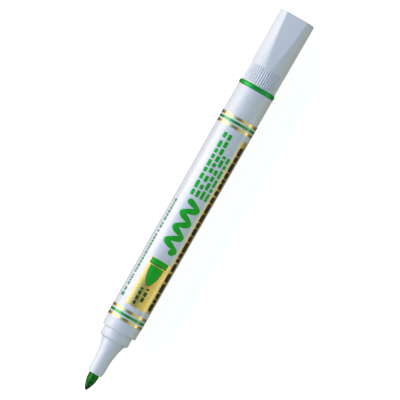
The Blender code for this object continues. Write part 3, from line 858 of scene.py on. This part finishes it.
def make_materials():
    pale = (0.74, 0.77, 0.80)
    bright = (0.79, 0.81, 0.84)
    cream = (0.70, 0.70, 0.66)
    return {
        "white": plastic("white_plastic_look", pale, bright, (0.34, 0.40), 6000, 0.003 * MM,
                         Specular_IOR_Level=0.7),
        "cap": plastic("cap_plastic_look", pale, bright, (0.40, 0.48), 9000, 0.008 * MM),
        "film": plastic("film_look", pale, bright, (0.18, 0.24), 1200, 0.003 * MM, Specular_IOR_Level=0.95),
        "green": plastic("green_plastic_look", (0.012, 0.40, 0.05), (0.018, 0.44, 0.06), (0.30, 0.36), 6000,
                         0.003 * MM, Specular_IOR_Level=0.25, Metallic=0.35),
        "liner": plastic("liner_look", cream, (0.76, 0.76, 0.72), (0.4, 0.5), 4000, 0.01 * MM,
                         Subsurface_Weight=0.3, Subsurface_Scale=0.002),
        "tube": plastic("tube_look", cream, (0.78, 0.78, 0.74), (0.4, 0.5), 4000, 0.01 * MM),
        "gold": foil("gold_foil", (0.92, 0.64, 0.14), (0.98, 0.72, 0.18), (0.44, 0.52), 0.95),
        "band_gold": foil("band_gold_foil", (0.88, 0.66, 0.19), (0.94, 0.72, 0.23), (0.35, 0.41), 1.0, 1.8),
        "green_foil": foil("green_foil", (0.02, 0.34, 0.04), (0.03, 0.40, 0.05), (0.34, 0.42), 0.5),
        "ink": ink("green_ink", (0.004, 0.45, 0.010), (0.008, 0.51, 0.016), (0.42, 0.50), 0.2),
        "pale_ink": ink("pale_green_ink", (0.09, 0.29, 0.16), (0.13, 0.36, 0.21), (0.3, 0.4), 0.0),
        "deep": ink("deep_green_ink", (0.010, 0.075, 0.004), (0.018, 0.105, 0.008), (0.4, 0.5), 0.0),
        "dark": ink("dark_ink", (0.03, 0.018, 0.005), (0.05, 0.032, 0.01), (0.3, 0.4), 0.0),
        "nib": felt("nib_felt", (0.001, 0.018, 0.001), (0.018, 0.32, 0.02), 1900, (0.3, 1, 1), 0.12 * MM,
                    WET_LENGTH),
        "core": felt("core_fibre", (0.01, 0.16, 0.04), (0.06, 0.36, 0.12), 3000, (0.08, 1, 1), 0.05 * MM),
        "wrap": plastic("wrap_look", (0.6, 0.68, 0.64), (0.7, 0.76, 0.72), (0.15, 0.25), 900, 0.02 * MM),
    }


# Stage

CENTRE = Vector(((cad_bounds[0][0] + cad_bounds[1][0]) / 2, 0, AXIS_HEIGHT))
VIEW_TURN = math.radians(-60.3)
VIEW_WIDTH = 149.85 * MM
VIEW_SHIFT = Vector((2.80 * MM, -2.05 * MM, 0))
VIEW_DISTANCE = 1.6
SENSOR = 36.0

# Soft boxes: place in degrees round X from straight up towards -Y, distance, width, and radiance in
# red, green and blue
LIGHTS = {
    "key": (-71.5, 1.0, 0.91, (3.08, 2.78, 2.42)),
    "sky": (-33.4, 1.2, 0.58, (0.03, 0.56, 1.48)),
    "top": (41.0, 1.2, 0.92, (0.50, 0.56, 0.49)),
    "fill": (81.0, 1.0, 0.36, (1.60, 1.68, 1.48)),
}
LIGHT_LENGTH = 2.6

# Floor: its reach, and the distances from its middle between which its glow grows
FLOOR_REACH = 3.0
GLOW_START, GLOW_END = 0.15, 0.45
GLOW_NEAR, GLOW_FAR = 0.72, 1.0


def make_camera():
    data = bpy.data.cameras.new("camera")
    data.sensor_width = SENSOR
    data.lens = SENSOR * VIEW_DISTANCE / VIEW_WIDTH
    data.clip_start = 0.01
    data.clip_end = 20
    camera = bpy.data.objects.new("camera", data)
    camera.location = CENTRE + VIEW_SHIFT + Vector((0, 0, VIEW_DISTANCE))
    camera.rotation_euler = (0, 0, VIEW_TURN)
    bpy.context.scene.collection.objects.link(camera)
    bpy.context.scene.camera = camera


def make_light(name, turn, distance, width, radiance):
    """A soft box along the marker. Its place is in degrees round X, from straight up towards -Y."""
    data = bpy.data.lights.new(name, "AREA")
    data.shape = "RECTANGLE"
    data.size = LIGHT_LENGTH
    data.size_y = width
    strength = max(radiance)
    data.color = [value / strength for value in radiance]
    data.energy = strength * math.pi * LIGHT_LENGTH * width
    lamp = bpy.data.objects.new(name, data)
    angle = math.radians(turn)
    way = Vector((0, -math.sin(angle), math.cos(angle)))
    lamp.location = CENTRE + way * distance
    lamp.rotation_euler = (angle, 0, 0)
    lamp.visible_camera = False
    bpy.context.scene.collection.objects.link(lamp)


def make_floor():
    """A pale sheet with a painted glow: it emits light that washes out the marker's shadows, and glows
    brighter away from the marker, so that it meets the backdrop unseen.
    """
    floor_mesh = bpy.data.meshes.new("floor")
    reach = FLOOR_REACH
    corners = [(-reach, -reach, 0), (reach, -reach, 0), (reach, reach, 0), (-reach, reach, 0)]
    floor_mesh.from_pydata(corners, [], [(0, 1, 2, 3)])
    made = shader("floor_painted_glow", (0.9, 0.9, 0.9), 0.9, Specular_IOR_Level=0.0)
    nodes = made.node_tree.nodes
    links = made.node_tree.links
    node = nodes["Principled BSDF"]
    node.inputs["Emission Color"].default_value = (1, 1, 1, 1)
    place = nodes.new("ShaderNodeTexCoord")
    reached = nodes.new("ShaderNodeVectorMath")
    reached.operation = "LENGTH"
    glow = nodes.new("ShaderNodeMapRange")
    glow.inputs["From Min"].default_value = GLOW_START
    glow.inputs["From Max"].default_value = GLOW_END
    glow.inputs["To Min"].default_value = GLOW_NEAR
    glow.inputs["To Max"].default_value = GLOW_FAR
    links.new(place.outputs["Object"], reached.inputs[0])
    links.new(reached.outputs["Value"], glow.inputs["Value"])
    # painted glow: the floor emits light, stronger away from the marker, which washes out the marker's
    # shadows
    links.new(glow.outputs["Result"], node.inputs["Emission Strength"])
    floor_mesh.materials.append(made)
    floor = bpy.data.objects.new("floor", floor_mesh)
    floor.visible_diffuse = False
    floor.visible_glossy = False
    bpy.context.scene.collection.objects.link(floor)


def make_world():
    """A dim studio that shows as a pale backdrop beyond the floor."""
    world = bpy.data.worlds.new("studio")
    world.use_nodes = True
    nodes = world.node_tree.nodes
    links = world.node_tree.links
    dim = nodes["Background"]
    dim.inputs["Color"].default_value = (0.9, 0.95, 1.0, 1)
    dim.inputs["Strength"].default_value = 0.08
    pale = nodes.new("ShaderNodeBackground")
    pale.inputs["Color"].default_value = (1, 1, 1, 1)
    seen = nodes.new("ShaderNodeLightPath")
    mix = nodes.new("ShaderNodeMixShader")
    links.new(seen.outputs["Is Camera Ray"], mix.inputs["Fac"])
    links.new(dim.outputs["Background"], mix.inputs[1])
    links.new(pale.outputs["Background"], mix.inputs[2])
    links.new(mix.outputs["Shader"], nodes["World Output"].inputs["Surface"])
    bpy.context.scene.world = world


def main():
    bpy.context.scene.view_settings.view_transform = "Standard"
    looks = make_materials()
    make_nib(looks["nib"])
    make_nozzle(looks["white"])
    make_barrel(looks["white"])
    make_film(looks["film"])
    make_plug(looks["green"])
    make_cap(looks["cap"])
    make_liner(looks["liner"])
    make_bands(looks["band_gold"], looks["green_foil"])
    make_panel(looks["gold"])
    make_sign(looks["ink"], looks["deep"])
    make_wave(looks["ink"])
    make_title(looks["ink"])
    make_small_print(looks["pale_ink"], looks["dark"], looks["deep"])
    for node, look in (("reservoir_core", "core"), ("reservoir_wrap", "wrap"), ("air_tube", "tube")):
        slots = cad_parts[node].data.materials
        for i in range(len(slots)):
            slots[i] = looks[look]
    make_world()
    make_floor()
    for name, light in LIGHTS.items():
        make_light(name, *light)
    make_camera()


main()
